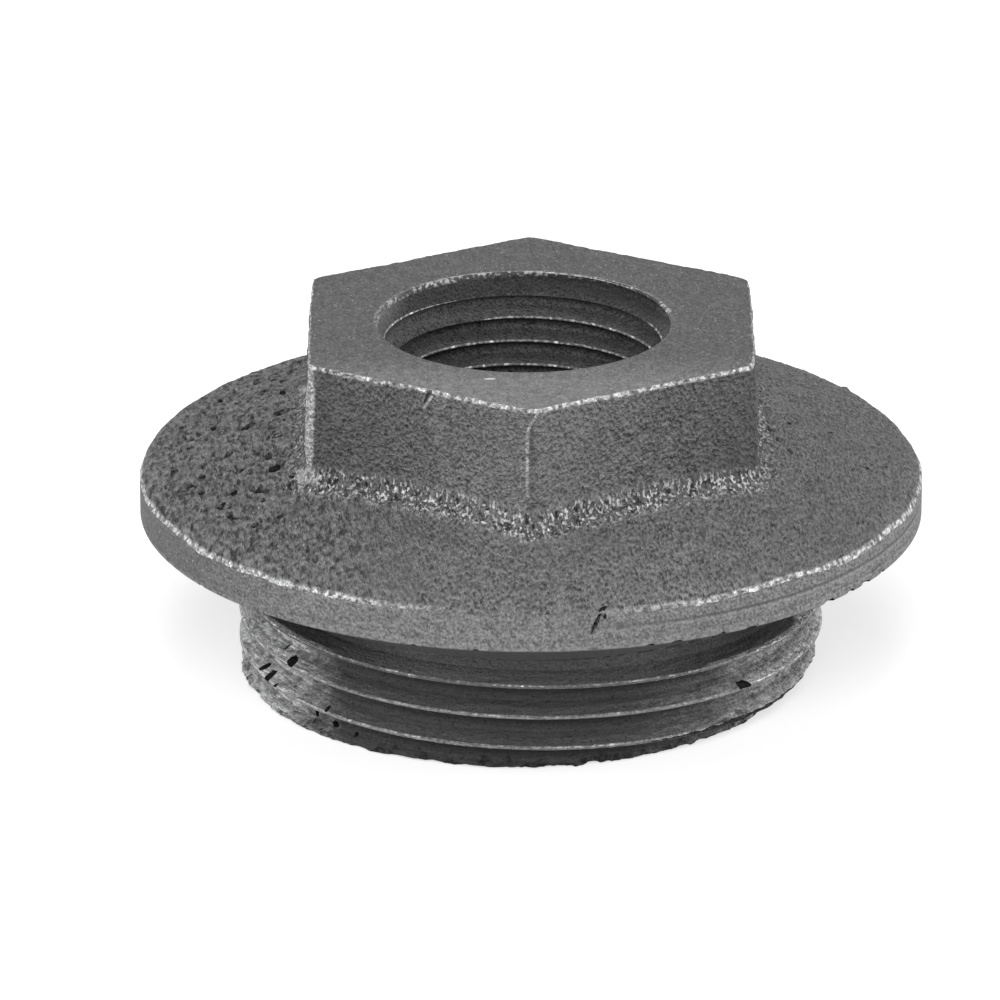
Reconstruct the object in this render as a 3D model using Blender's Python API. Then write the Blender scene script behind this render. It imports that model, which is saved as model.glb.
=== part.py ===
"""Cast iron radiator plug with a through hole.

One casting: a threaded spigot that screws into the end of a radiator section, a wide round
flange that seals against it, and a hexagon boss with a pipe thread through the middle.
Units are metres, +Z points up out of the hexagon, and the origin is the centre of the
spigot's end face, which the plug stands on.
"""

import math

import bmesh
import bpy
from mathutils import Matrix, Vector

# Spigot: left-hand G 1 1/4 pipe thread on a plain shank, with a relief groove at the flange
SPIGOT_LENGTH = 0.01195
OUTER_THREAD_MAJOR = 0.04191
OUTER_THREAD_PITCH = 0.002309
OUTER_CREST_HEIGHT = 0.0065
RELIEF_WIDTH = 0.0043
RELIEF_CLEARANCE = 0.0001
SPIGOT_CHAMFER = 0.0007

# Flange: flat sealing face below, turned edge, and a rounded rim that runs into a low cone
FLANGE_DIAMETER = 0.0559
FLANGE_EDGE = 0.00205
RIM_RADIUS = 0.0018
CONE_ANGLE = math.radians(12.0)
SEAL_CHAMFER = 0.0003

# Hexagon boss: drafted flats, rounded corners, broken top edge and a cast fillet at its foot
OVERALL_HEIGHT = 0.02605
HEX_ACROSS_FLATS = 0.0315
HEX_DRAFT = math.radians(1.6)
HEX_CORNER_RADIUS = 0.0011
HEX_EDGE_BREAK = 0.00025
FOOT_FILLET = 0.0013

# Bore: right-hand G 1/2 pipe thread, opened by a countersink above and a cored recess below
INNER_THREAD_MAJOR = 0.020955
INNER_THREAD_PITCH = 0.001814
INNER_CREST_HEIGHT = 0.02294
MOUTH_DIAMETER = 0.0214
RECESS_DIAMETER = 0.0302
RECESS_DEPTH = 0.0088
RECESS_DRAFT = math.radians(2.0)
RECESS_RADIUS = 0.0015

# Whitworth form, as shares of the pitch: depth and the flats at crest and root
FORM_DEPTH = 0.640327
FORM_FLAT = 1.0 / 6.0

# Faces around a full turn, and how far a cutter reaches past what it cuts
BODY_STEPS = 64
BORE_STEPS = 36
OVERRUN = 0.002
CUTTER_LIP = 0.00015

OUTER_THREAD_MINOR = OUTER_THREAD_MAJOR - 2 * FORM_DEPTH * OUTER_THREAD_PITCH
INNER_THREAD_MINOR = INNER_THREAD_MAJOR - 2 * FORM_DEPTH * INNER_THREAD_PITCH


def clear_scene():
    for old in list(bpy.context.scene.objects):
        bpy.data.objects.remove(old, do_unlink=True)


def link_mesh(name, bm):
    """Turn a bmesh into an object of its own in the scene."""
    mesh = bpy.data.meshes.new(name)
    bm.to_mesh(mesh)
    bm.free()
    obj = bpy.data.objects.new(name, mesh)
    bpy.context.scene.collection.objects.link(obj)
    return obj


def arc(centre, radius, start, end, parts):
    """Points on an arc in the XZ plane, from one angle to another in degrees."""
    points = []
    for i in range(parts + 1):
        angle = math.radians(start + (end - start) * i / parts)
        points.append((centre[0] + radius * math.cos(angle), centre[1] + radius * math.sin(angle)))
    return points


def turned(name, outline, steps):
    """Turn an outline of (radius, height) points, given from top to bottom, about Z."""
    bm = bmesh.new()
    verts = [bm.verts.new((r, 0.0, z)) for r, z in outline]
    for first, second in zip(verts, verts[1:]):
        bm.edges.new((first, second))
    obj = link_mesh(name, bm)
    screw = obj.modifiers.new("turn", "SCREW")
    screw.axis = "Z"
    screw.angle = math.tau
    screw.steps = steps
    screw.render_steps = steps
    screw.use_merge_vertices = True
    screw.merge_threshold = 0.00001
    return obj


def rim_outline():
    """Rounded rim of the flange, from the foot of the cone out to the turned edge."""
    centre = (FLANGE_DIAMETER / 2 - RIM_RADIUS, SPIGOT_LENGTH + FLANGE_EDGE)
    return arc(centre, RIM_RADIUS, 90 - math.degrees(CONE_ANGLE), 0, 5)


def cone_height(radius):
    """Height of the flange's top face at a distance from the axis."""
    foot_radius, foot_height = rim_outline()[0]
    return foot_height + (foot_radius - radius) * math.tan(CONE_ANGLE)


def flange_outline():
    """Blank of flange and spigot, from the top of the cone down to the spigot's end."""
    edge = FLANGE_DIAMETER / 2
    shank = OUTER_THREAD_MAJOR / 2
    neck = OUTER_THREAD_MINOR / 2 - RELIEF_CLEARANCE
    thread_top = SPIGOT_LENGTH - RELIEF_WIDTH
    relief_slope = shank - neck
    outline = [(0.0, cone_height(0.0))]
    outline += rim_outline()
    outline += [(edge, SPIGOT_LENGTH + SEAL_CHAMFER)]
    outline += [(edge - SEAL_CHAMFER, SPIGOT_LENGTH)]
    outline += [(neck, SPIGOT_LENGTH)]
    outline += [(neck, thread_top + relief_slope)]
    outline += [(shank, thread_top)]
    outline += [(shank, SPIGOT_CHAMFER)]
    outline += [(shank - SPIGOT_CHAMFER, 0.0)]
    outline += [(0.0, 0.0)]
    return outline


def hexagon(across_flats, corner_radius):
    """Outline of a hexagon with rounded corners, one corner towards -Y."""
    points = []
    reach = (across_flats / 2 - corner_radius) / math.cos(math.pi / 6)
    for corner in range(6):
        heading = math.radians(60 * corner - 90)
        centre = Vector((math.cos(heading), math.sin(heading))) * reach
        for step in (-1, -0.33, 0.33, 1):
            angle = heading + step * math.pi / 6
            points.append(centre + Vector((math.cos(angle), math.sin(angle))) * corner_radius)
    return points


def boss_rings():
    """Rings of points down the boss: broken edge, drafted flats, then the fillet on the cone."""
    widen = math.tan(HEX_DRAFT)
    edge_height = OVERALL_HEIGHT - HEX_EDGE_BREAK
    top = hexagon(HEX_ACROSS_FLATS - 2 * HEX_EDGE_BREAK, HEX_CORNER_RADIUS)
    edge = hexagon(HEX_ACROSS_FLATS, HEX_CORNER_RADIUS)
    rings = [[(p.x, p.y, OVERALL_HEIGHT) for p in top], [(p.x, p.y, edge_height) for p in edge]]
    foot_flats = HEX_ACROSS_FLATS + 2 * widen * (edge_height - cone_height(HEX_ACROSS_FLATS / 2))
    for turn in (0, 22.5, 45, 67.5, 90):
        out = FOOT_FILLET * (1 - math.cos(math.radians(turn)))
        above = FOOT_FILLET * (1 - math.sin(math.radians(turn)))
        ring = hexagon(foot_flats + 2 * out, HEX_CORNER_RADIUS + out)
        rings.append([(p.x, p.y, cone_height(p.length) + above) for p in ring])
    rings.append([(x, y, z - FOOT_FILLET) for x, y, z in rings[-1]])
    return rings


def hex_boss():
    """Loft the boss through its rings and close both ends."""
    bm = bmesh.new()
    rings = [[bm.verts.new(point) for point in ring] for ring in boss_rings()]
    count = len(rings[0])
    for upper, lower in zip(rings, rings[1:]):
        for i in range(count):
            j = (i + 1) % count
            bm.faces.new((upper[i], lower[i], lower[j], upper[j]))
    bm.faces.new(rings[0])
    bm.faces.new(rings[-1])
    bmesh.ops.recalc_face_normals(bm, faces=bm.faces)
    return link_mesh("hex_boss", bm)


def bore_outline():
    """Countersink, thread core and cored recess, from above the boss to below the spigot."""
    mouth = MOUTH_DIAMETER / 2
    core = INNER_THREAD_MINOR / 2
    recess = RECESS_DIAMETER / 2
    ceiling = recess - RECESS_DEPTH * math.tan(RECESS_DRAFT)
    round_centre = (ceiling - RECESS_RADIUS, RECESS_DEPTH - RECESS_RADIUS)
    outline = [(0.0, OVERALL_HEIGHT + OVERRUN)]
    outline += [(mouth + OVERRUN, OVERALL_HEIGHT + OVERRUN)]
    outline += [(core, OVERALL_HEIGHT - (mouth - core))]
    outline += [(core, RECESS_DEPTH)]
    outline += arc(round_centre, RECESS_RADIUS, 90, 0, 3)
    outline += [(recess, 0.0)]
    outline += [(recess + OVERRUN * math.tan(RECESS_DRAFT), -OVERRUN)]
    outline += [(0.0, -OVERRUN)]
    return outline


def thread_cutter(name, root, lip, pitch, centre_height, heading, low, high, steps, hand):
    """Sweep a groove's section along a helix and close its ends.

    The section is a trapezium from the groove's root to a lip in the air. Its middle is at
    centre_height at the angle heading, and the sweep runs from below low to above high.
    """
    flank = math.tan(math.radians(27.5))
    root_half = FORM_FLAT * pitch / 2
    lip_half = root_half + abs(lip - root) * flank
    below = math.ceil((centre_height - low) / pitch)
    turns = below + math.ceil((high - centre_height) / pitch)
    start_height = centre_height - below * pitch
    bm = bmesh.new()
    section = [(root, -root_half), (lip, -lip_half), (lip, lip_half), (root, root_half)]
    face = bm.faces.new([bm.verts.new((r, 0.0, z + start_height)) for r, z in section])
    bmesh.ops.rotate(bm, cent=(0, 0, 0), matrix=Matrix.Rotation(heading, 3, "Z"), verts=bm.verts)
    bmesh.ops.spin(
        bm,
        geom=[face],
        cent=(0, 0, 0),
        axis=(0, 0, 1),
        dvec=(0, 0, pitch / steps),
        angle=hand * math.tau * turns,
        steps=turns * steps,
    )
    bmesh.ops.recalc_face_normals(bm, faces=bm.faces)
    return link_mesh(name, bm)


def outer_thread_cutter():
    """Left-hand groove: seen from above it climbs clockwise."""
    pitch = OUTER_THREAD_PITCH
    half_step = math.pi / BODY_STEPS
    return thread_cutter(
        "outer_thread_cutter",
        root=OUTER_THREAD_MINOR / 2,
        lip=OUTER_THREAD_MAJOR / 2 + CUTTER_LIP,
        pitch=pitch,
        centre_height=OUTER_CREST_HEIGHT + pitch / 2 - pitch * half_step / math.tau,
        heading=-math.pi / 2 + half_step,
        low=-pitch,
        high=SPIGOT_LENGTH - RELIEF_WIDTH + pitch / 2,
        steps=BODY_STEPS,
        hand=-1,
    )


def inner_thread_cutter():
    """Right-hand groove: seen from above it climbs anticlockwise."""
    pitch = INNER_THREAD_PITCH
    half_step = math.pi / BORE_STEPS
    return thread_cutter(
        "inner_thread_cutter",
        root=INNER_THREAD_MAJOR / 2,
        lip=INNER_THREAD_MINOR / 2 - CUTTER_LIP,
        pitch=pitch,
        centre_height=INNER_CREST_HEIGHT + pitch / 2 + pitch * half_step / math.tau,
        heading=math.pi / 2 + half_step,
        low=RECESS_DEPTH - pitch,
        high=OVERALL_HEIGHT,
        steps=BORE_STEPS,
        hand=1,
    )


def shape_with(body, tool, operation):
    """Join a tool to the body, or cut it away, and leave the tool as a wire guide."""
    change = body.modifiers.new(tool.name, "BOOLEAN")
    change.operation = operation
    change.solver = "EXACT"
    change.object = tool
    tool.hide_render = True
    tool.display_type = "WIRE"


def cast_iron():
    material = bpy.data.materials.new("cast_iron")
    material.use_nodes = True
    shader = material.node_tree.nodes["Principled BSDF"]
    shader.inputs["Base Color"].default_value = (0.13, 0.13, 0.13, 1.0)
    shader.inputs["Metallic"].default_value = 0.8
    shader.inputs["Roughness"].default_value = 0.6
    return material


def plug():
    body = turned("plug_body", flange_outline(), BODY_STEPS)
    body.data.materials.append(cast_iron())
    shape_with(body, hex_boss(), "UNION")
    shape_with(body, turned("bore_cutter", bore_outline(), BORE_STEPS), "DIFFERENCE")
    shape_with(body, outer_thread_cutter(), "DIFFERENCE")
    shape_with(body, inner_thread_cutter(), "DIFFERENCE")
    smooth = body.modifiers.new("edges", "WEIGHTED_NORMAL")
    smooth.keep_sharp = True
    return body


clear_scene()
plug()
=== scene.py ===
"""Grey iron radiator plug: poured rough, then bored, turned and threaded."""

import math

import bpy
import numpy as np
from mathutils import Matrix, Vector


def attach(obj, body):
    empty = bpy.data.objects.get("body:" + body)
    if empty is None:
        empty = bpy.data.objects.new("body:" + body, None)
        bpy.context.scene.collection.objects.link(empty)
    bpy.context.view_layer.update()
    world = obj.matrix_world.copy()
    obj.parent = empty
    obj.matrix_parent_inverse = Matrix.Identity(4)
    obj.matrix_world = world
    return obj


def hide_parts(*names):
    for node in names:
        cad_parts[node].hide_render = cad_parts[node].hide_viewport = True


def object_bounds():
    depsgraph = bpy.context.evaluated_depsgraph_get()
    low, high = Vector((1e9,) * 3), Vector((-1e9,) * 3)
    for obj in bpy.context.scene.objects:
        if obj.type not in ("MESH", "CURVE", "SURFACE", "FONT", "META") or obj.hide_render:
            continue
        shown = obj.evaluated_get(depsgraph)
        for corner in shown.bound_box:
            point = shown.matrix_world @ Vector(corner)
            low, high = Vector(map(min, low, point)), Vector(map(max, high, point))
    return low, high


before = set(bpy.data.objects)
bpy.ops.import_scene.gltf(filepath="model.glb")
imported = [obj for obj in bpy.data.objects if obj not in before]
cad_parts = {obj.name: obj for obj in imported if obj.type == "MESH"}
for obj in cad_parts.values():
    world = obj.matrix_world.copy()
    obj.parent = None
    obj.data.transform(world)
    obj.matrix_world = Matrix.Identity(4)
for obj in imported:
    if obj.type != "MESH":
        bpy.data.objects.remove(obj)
cad_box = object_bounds()


# Rough casting
# The plug is poured in sand as one lump of grey iron: a low cone of a flange, a
# hexagon above it and a plain round spigot below. It comes out of the mould a
# little oversize, because the lathe still has to clean the rim, faces and threads.

FLANGE_RADIUS = (cad_box[1][0] - cad_box[0][0]) / 2
HEIGHT = cad_box[1][2]
SEAL_HEIGHT = 0.01195
RIM_ROUND = 0.0019
RIM_ROUND_RADIUS = 0.0262
RIM_ROUND_HEIGHT = 0.0139
CONE_ANGLE = math.radians(12)
CONE_TIP_RADIUS = 0.012
SPIGOT_STOCK = 0.0213
SPIGOT_END = -0.00015
SPIGOT_END_ROUND = 0.0023
SPIGOT_END_RISE = 0.008
SPIGOT_RIGHT_PULL = 0.0006
SPIGOT_SHIFT = -0.0006
SPIGOT_SHIFT_UP_TO = 0.0036
SEAL_STOCK = 0.001
CASTING_SIDES = 256
SAND_STEP = 0.00026


def turned_shape(name, outline, sides):
    """Draw a round piece up its outline of radius and height, ring by ring."""
    radius, height = outline[0]
    bpy.ops.object.select_all(action="DESELECT")
    bpy.ops.mesh.primitive_circle_add(
        vertices=sides, radius=radius, fill_type="NGON", location=(0, 0, height)
    )
    piece = bpy.context.object
    piece.name = name
    bpy.ops.object.transform_apply(location=True, rotation=True, scale=True)
    bpy.ops.object.mode_set(mode="EDIT")
    bpy.ops.mesh.select_all(action="SELECT")
    for wide, high in outline[1:]:
        bpy.ops.mesh.extrude_region_move(
            TRANSFORM_OT_translate={"value": (0, 0, high - height)}
        )
        bpy.ops.transform.resize(
            value=(wide / radius, wide / radius, 1), center_override=(0, 0, high)
        )
        radius, height = wide, high
    bpy.ops.mesh.select_all(action="SELECT")
    bpy.ops.mesh.normals_make_consistent(inside=False)
    bpy.ops.object.mode_set(mode="OBJECT")
    return piece


def rounding(radius, height, bend, start, end, parts):
    """Points of a rounded corner, given by its centre and its two angles."""
    angles = [math.radians(start + (end - start) * i / parts) for i in range(parts + 1)]
    return [(radius + bend * math.cos(a), height + bend * math.sin(a)) for a in angles]


def apply_all(piece):
    bpy.ops.object.select_all(action="DESELECT")
    piece.select_set(True)
    bpy.context.view_layer.objects.active = piece
    for change in list(piece.modifiers):
        bpy.ops.object.modifier_apply(modifier=change.name)


def combine(piece, tool, operation, solver="EXACT"):
    change = piece.modifiers.new(operation.lower(), "BOOLEAN")
    change.operation = operation
    change.solver = solver
    change.object = tool
    apply_all(piece)
    bpy.data.objects.remove(tool, do_unlink=True)


rim_round = rounding(
    RIM_ROUND_RADIUS, RIM_ROUND_HEIGHT, RIM_ROUND, 0, 90 - math.degrees(CONE_ANGLE), 6
)
cone_radius, cone_start = rim_round[-1]


def cone_height(radius):
    return cone_start + (cone_radius - radius) * math.tan(CONE_ANGLE)


spigot_corner = rounding(
    SPIGOT_STOCK - SPIGOT_END_ROUND,
    SPIGOT_END + SPIGOT_END_ROUND,
    SPIGOT_END_ROUND,
    -90,
    0,
    4,
)
casting = turned_shape(
    "plug_casting",
    spigot_corner
    + [(SPIGOT_STOCK, SEAL_HEIGHT - SEAL_STOCK), (rim_round[0][0], SEAL_HEIGHT - SEAL_STOCK)]
    + rim_round
    + [(CONE_TIP_RADIUS, cone_height(CONE_TIP_RADIUS))],
    CASTING_SIDES,
)

# The hexagon takes the spanner. Its six sides lean out a little towards the flange,
# so that the pattern drew from the sand, and its corners are rounded.

HEX_ACROSS = 0.0315
HEX_LEAN = math.radians(1.6)
HEX_CORNER_ROUND = 0.0011
HEX_STOCK = 0.00016
HEX_BASE = SEAL_HEIGHT + 0.001

hex_corner = HEX_ACROSS / 2 / math.cos(math.pi / 6)
bpy.ops.object.select_all(action="DESELECT")
bpy.ops.mesh.primitive_circle_add(
    vertices=6,
    radius=hex_corner,
    fill_type="NGON",
    location=(0, 0, HEIGHT + HEX_STOCK),
)
hexagon = bpy.context.object
bpy.ops.object.transform_apply(location=True, rotation=True, scale=True)
bpy.ops.object.mode_set(mode="EDIT")
bpy.ops.mesh.select_all(action="SELECT")
bpy.ops.mesh.bevel(offset=HEX_CORNER_ROUND / math.sqrt(3), segments=6, affect="VERTICES")
bpy.ops.mesh.select_all(action="SELECT")
hex_drop = HEIGHT - HEX_BASE
hex_spread = 1 + 2 * hex_drop * math.tan(HEX_LEAN) / HEX_ACROSS
bpy.ops.mesh.extrude_region_move(TRANSFORM_OT_translate={"value": (0, 0, -hex_drop)})
bpy.ops.transform.resize(value=(hex_spread, hex_spread, 1), center_override=(0, 0, 0))
bpy.ops.mesh.select_all(action="SELECT")
bpy.ops.mesh.normals_make_consistent(inside=False)
bpy.ops.object.mode_set(mode="OBJECT")
combine(casting, hexagon, "UNION")

# The sand leaves its own skin on the iron: soft corners, a ragged fillet where the
# hexagon grows out of the flange, shallow waves, and lumps and pores all over.

FILLET_REACH = 0.0016
FILLET_OVERLAP = 0.0003
FILLET_MIDDLE = 0.0004
FILLET_LUMPS_DOWN = 0.0008
WORN_CORNER = 0.00055
PORED_LEFT_OF = -0.0125
PORED_SIDE_FADE = 0.006
PORED_ABOVE = 0.0145
PORED_PAST_HEXAGON = 0.0008
PORED_HEXAGON_FADE = 0.001
PORED_INSIDE = 0.0257
END_LUMPS_UP_TO = 0.0024
END_LUMPS_FADE = 0.0012
RIM_SKIN = 0.0009
RIM_GRAININESS = 0.4
WEIGHT_STEPS = 20
HOLE_EDGE = 0.12

sand = casting.modifiers.new("sand", "REMESH")
sand.mode = "VOXEL"
sand.voxel_size = SAND_STEP
apply_all(casting)
spots = np.empty(len(casting.data.vertices) * 3)
casting.data.vertices.foreach_get("co", spots)
spots = spots.reshape(-1, 3)
low_end = np.clip(1 - spots[:, 2] / SPIGOT_SHIFT_UP_TO, 0, 1)
spots[:, 2] += SPIGOT_END_RISE * np.clip(spots[:, 0], 0, None) * low_end
spots[:, 0] -= SPIGOT_RIGHT_PULL * np.clip(spots[:, 0] / SPIGOT_STOCK, 0, 1) * low_end
spots[:, 0] += SPIGOT_SHIFT * low_end
casting.data.vertices.foreach_set("co", spots.ravel())
from_axis = np.hypot(spots[:, 0], spots[:, 1])
hex_reach = np.zeros(len(spots))
for side in range(6):
    facing = math.radians(60 * side)
    hex_reach = np.maximum(
        hex_reach, spots[:, 0] * math.cos(facing) + spots[:, 1] * math.sin(facing)
    )
hex_out = hex_reach - HEX_ACROSS / 2 - (HEIGHT - spots[:, 2]) * math.tan(HEX_LEAN)
above_cone = spots[:, 2] - cone_start - (cone_radius - from_axis) * math.tan(CONE_ANGLE)


def mark_skin(name, weight):
    """Keep a weight from 0 to 1 for each spot of the skin under one name."""
    held = casting.vertex_groups.new(name=name)
    steps = np.round(weight * WEIGHT_STEPS)
    for level in np.unique(steps[steps > 0]):
        chosen = np.nonzero(steps == level)[0]
        held.add([int(spot) for spot in chosen], float(level) / WEIGHT_STEPS, "REPLACE")


def soften(name, passes):
    change = casting.modifiers.new("soften", "SMOOTH")
    change.factor = 0.5
    change.iterations = passes
    change.vertex_group = name
    apply_all(casting)


near_foot = (
    (hex_out > -FILLET_OVERLAP)
    & (hex_out < FILLET_REACH)
    & (above_cone > -FILLET_OVERLAP)
    & (above_cone < FILLET_REACH)
)
near_crown = (hex_out > -WORN_CORNER) & (spots[:, 2] > HEIGHT - WORN_CORNER)
mark_skin("foot", near_foot * 1.0)
mark_skin("crown", near_crown * 1.0)
off_middle = np.hypot(hex_out - FILLET_MIDDLE, above_cone - FILLET_MIDDLE)
foot_lumps = np.clip(2 * np.clip(1 - off_middle / FILLET_REACH, 0, 1), 0, 1)
mark_skin("foot_lumps", foot_lumps * (above_cone > -FILLET_LUMPS_DOWN))
pored = np.clip((PORED_LEFT_OF - spots[:, 0]) / PORED_SIDE_FADE, 0, 1)
pored *= np.clip((hex_out - PORED_PAST_HEXAGON) / PORED_HEXAGON_FADE, 0, 1)
mark_skin("pored", pored * (spots[:, 2] > PORED_ABOVE) * (from_axis < PORED_INSIDE))
end_lumps = np.clip((END_LUMPS_UP_TO - spots[:, 2]) / END_LUMPS_FADE, 0, 1)
mark_skin("spigot_end", end_lumps)
on_rim = from_axis > FLANGE_RADIUS - RIM_SKIN
mark_skin("grainy", np.where(on_rim, RIM_GRAININESS, 1.0))
soften("foot", 55)
soften("crown", 6)


def roughen(name, size, depth, detail, group="", level=0.5, holes_from=None):
    """Push the skin in and out by a cloud pattern, or only in at its highest spots."""
    pattern = bpy.data.textures.new(name, "CLOUDS")
    pattern.noise_scale = size
    pattern.noise_depth = detail
    if holes_from:
        pattern.use_color_ramp = True
        marks = pattern.color_ramp.elements
        marks[0].position, marks[0].color = holes_from, (0, 0, 0, 1)
        marks[1].position, marks[1].color = holes_from + HOLE_EDGE, (1, 1, 1, 1)
    change = casting.modifiers.new(name, "DISPLACE")
    change.texture = pattern
    change.strength = depth
    change.mid_level = level
    change.vertex_group = group
    apply_all(casting)


roughen("slow_wave", size=0.005, depth=0.00022, detail=1)
roughen("sand_lumps", size=0.0009, depth=0.00014, detail=2, group="grainy")
roughen("sand_grains", size=0.00045, depth=0.00013, detail=1, group="grainy")
roughen("foot_lumps", size=0.00055, depth=0.0003, detail=1, group="foot_lumps")
roughen("end_lumps", size=0.0016, depth=0.00042, detail=3, group="spigot_end")
roughen("pores", 0.0007, -0.00045, detail=1, group="pored", level=0, holes_from=0.64)

# Blow holes and knocks: deep dark pits on the left of the flange and a few on the
# right, a crack down the rim, a chip out of the hexagon's front left top edge, and
# one lump of iron where sand broke away at the back of the rim.

PIT_DENT = 0.09
PIT_WAVES = (5.1, 4.3)
CRACK_TILT = 70
CHIP_TURN = -25
LUMP_TILT = 30
INTO_SIDE = 90

# radius in mm, angle in degrees, length, width and depth in mm, turn in degrees
FLANGE_PITS = (
    (20.4, 173, 1.75, 0.88, 1.02, 62),
    (18.5, 167, 1.12, 0.75, 0.85, 74),
    (18.1, 182, 1.12, 0.75, 0.85, 65),
    (19.1, 199, 1.88, 1.12, 1.19, 54),
    (19.4, 210, 1.62, 0.75, 0.85, 49),
    (18.7, 206, 0.88, 0.62, 0.68, 59),
    (22.8, 203, 1.12, 0.62, 0.68, 37),
    (24.8, 183, 1, 0.62, 0.68, 63),
    (22.3, 144, 1.12, 0.62, 0.68, 108),
    (20.3, 152, 1, 0.62, 0.68, 106),
    (24.6, 199, 1, 0.5, 0.59, 65),
    (19.7, 189, 1.12, 0.62, 0.77, 50),
    (21.6, 186, 1.25, 0.56, 0.68, 59),
    (23.1, 170, 1, 0.56, 0.68, 81),
    (21.2, 195, 0.75, 0.5, 0.59, 62),
    (23.9, 193, 0.88, 0.5, 0.59, 70),
    (17, 1, 0.8, 0.55, 0.85, 97),
    (17.7, 355, 0.8, 0.5, 0.68, 109),
    (18.7, 350, 0.8, 0.4, 0.59, 120),
    (18.7, 7, 0.6, 0.4, 0.59, 109),
    (19.6, 359, 0.5, 0.4, 0.51, 123),
    (21.5, 5, 0.5, 0.4, 0.59, 92),
    (24.1, 351, 0.6, 0.5, 0.85, 112),
)
# the same, with the height in mm after the angle, and below without the turn
RIM_CRACKS = (
    (27.9, 279.0, 14.0, 1.8, 0.34, 0.55, -24),
    (27.6, 280.0, 14.9, 0.8, 0.3, 0.5, -62),
    (27.8, 280.3, 14.4, 0.4, 0.3, 0.4, 0),
)
EDGE_CHIP = (15.9, 242.6, 25.5, 1.6, 0.4, 0.45)
SAND_LUMP = (27.4, 33, 15.2, 0.7, 1.1, 0.3)


def pit(radius, angle, height, length, width, depth, turn, tilt):
    """One hollow's shape: a dented ball, laid at its place on the casting."""
    bpy.ops.mesh.primitive_ico_sphere_add(subdivisions=2, radius=1)
    ball = bpy.context.object
    for spot in ball.data.vertices:
        wave = math.sin(PIT_WAVES[0] * spot.co.x + radius)
        wave *= math.sin(PIT_WAVES[1] * spot.co.y + angle)
        spot.co *= 0.5 + PIT_DENT * wave
    place = Matrix.Rotation(math.radians(angle), 4, "Z")
    place @= Matrix.Translation((radius / 1000, 0, height))
    place @= Matrix.Rotation(math.radians(tilt), 4, "Y")
    place @= Matrix.Rotation(math.radians(turn), 4, "Z")
    size = Matrix.Diagonal((length / 1000, width / 1000, 2 * depth / 1000, 1))
    ball.data.transform(place @ size)
    return ball


def join_tools(name, tools):
    bpy.ops.object.select_all(action="DESELECT")
    for tool in tools:
        tool.select_set(True)
    bpy.context.view_layer.objects.active = tools[0]
    bpy.ops.object.join()
    bpy.context.object.name = name
    return bpy.context.object


hollows = []
for radius, angle, length, width, depth, turn in FLANGE_PITS:
    height = cone_height(radius / 1000)
    tilt = math.degrees(CONE_ANGLE)
    hollows.append(pit(radius, angle, height, length, width, depth, turn, tilt))
for radius, angle, height, length, width, depth, turn in RIM_CRACKS:
    hollows.append(pit(radius, angle, height / 1000, length, width, depth, turn, CRACK_TILT))
radius, angle, height, length, width, depth = EDGE_CHIP
hollows.append(pit(radius, angle, height / 1000, length, width, depth, CHIP_TURN, INTO_SIDE))
combine(casting, join_tools("pits", hollows), "DIFFERENCE", "MANIFOLD")
radius, angle, height, length, width, depth = SAND_LUMP
lump = pit(radius, angle, height / 1000, length, width, depth, 0, LUMP_TILT)
combine(casting, lump, "UNION", "MANIFOLD")


# Lathe work
# Everything that the lathe and the taps leave is held in one clean shape: the faced
# top, the turned rim, the sealing face with its relief neck, and the spigot.

OUTER_MAJOR = 0.04191
OUTER_PITCH = 0.002309
INNER_MAJOR = 0.020955
INNER_PITCH = 0.001814
PIPE_THREAD_DEPTH = 0.640327
PIPE_THREAD_FLANK = math.radians(27.5)
RELIEF_WIDTH = 0.0043
RELIEF_DEEPER = 0.00003
RELIEF_SLOPE = 0.0003
SEAL_EDGE = 0.00014
LATHE_SIDES = 384
LATHE_CLEARANCE = 0.00001
FIRST_CREST = 0.02294
MOUTH_RADIUS = 0.01052
MOUTH_LEAN = 0.42
MOUTH_OFFSET = -0.0005
RECESS_RADIUS = 0.0151
RECESS_DEPTH = 0.0088
RECESS_LEAN = math.radians(2)
RECESS_ROUND = 0.0015

shank = OUTER_MAJOR / 2
thread_root = shank - PIPE_THREAD_DEPTH * OUTER_PITCH
neck = thread_root - RELIEF_DEEPER
thread_top = SEAL_HEIGHT - RELIEF_WIDTH
core = INNER_MAJOR / 2 - PIPE_THREAD_DEPTH * INNER_PITCH
lathe_work = turned_shape(
    "lathe_work",
    [
        (FLANGE_RADIUS, HEIGHT - LATHE_CLEARANCE),
        (FLANGE_RADIUS, SEAL_HEIGHT + SEAL_EDGE),
        (FLANGE_RADIUS - SEAL_EDGE, SEAL_HEIGHT),
        (neck, SEAL_HEIGHT),
        (neck, thread_top + RELIEF_SLOPE),
        (shank, thread_top - RELIEF_SLOPE),
        (shank, LATHE_CLEARANCE),
    ],
    LATHE_SIDES,
)

# The threading tool: its tip as a share of the pitch, and how round it leaves the
# groove's bottom and the crests.

TOOL_TIP = 1 / 7.6
TOOL_TIP_FLAT = 0.7
TOOL_TIP_SIDE = 1.4
TOOL_TIP_ROUND = 0.00007
CREST_ROUND = 0.00008
CREST_FLARE = 1.3


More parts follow.
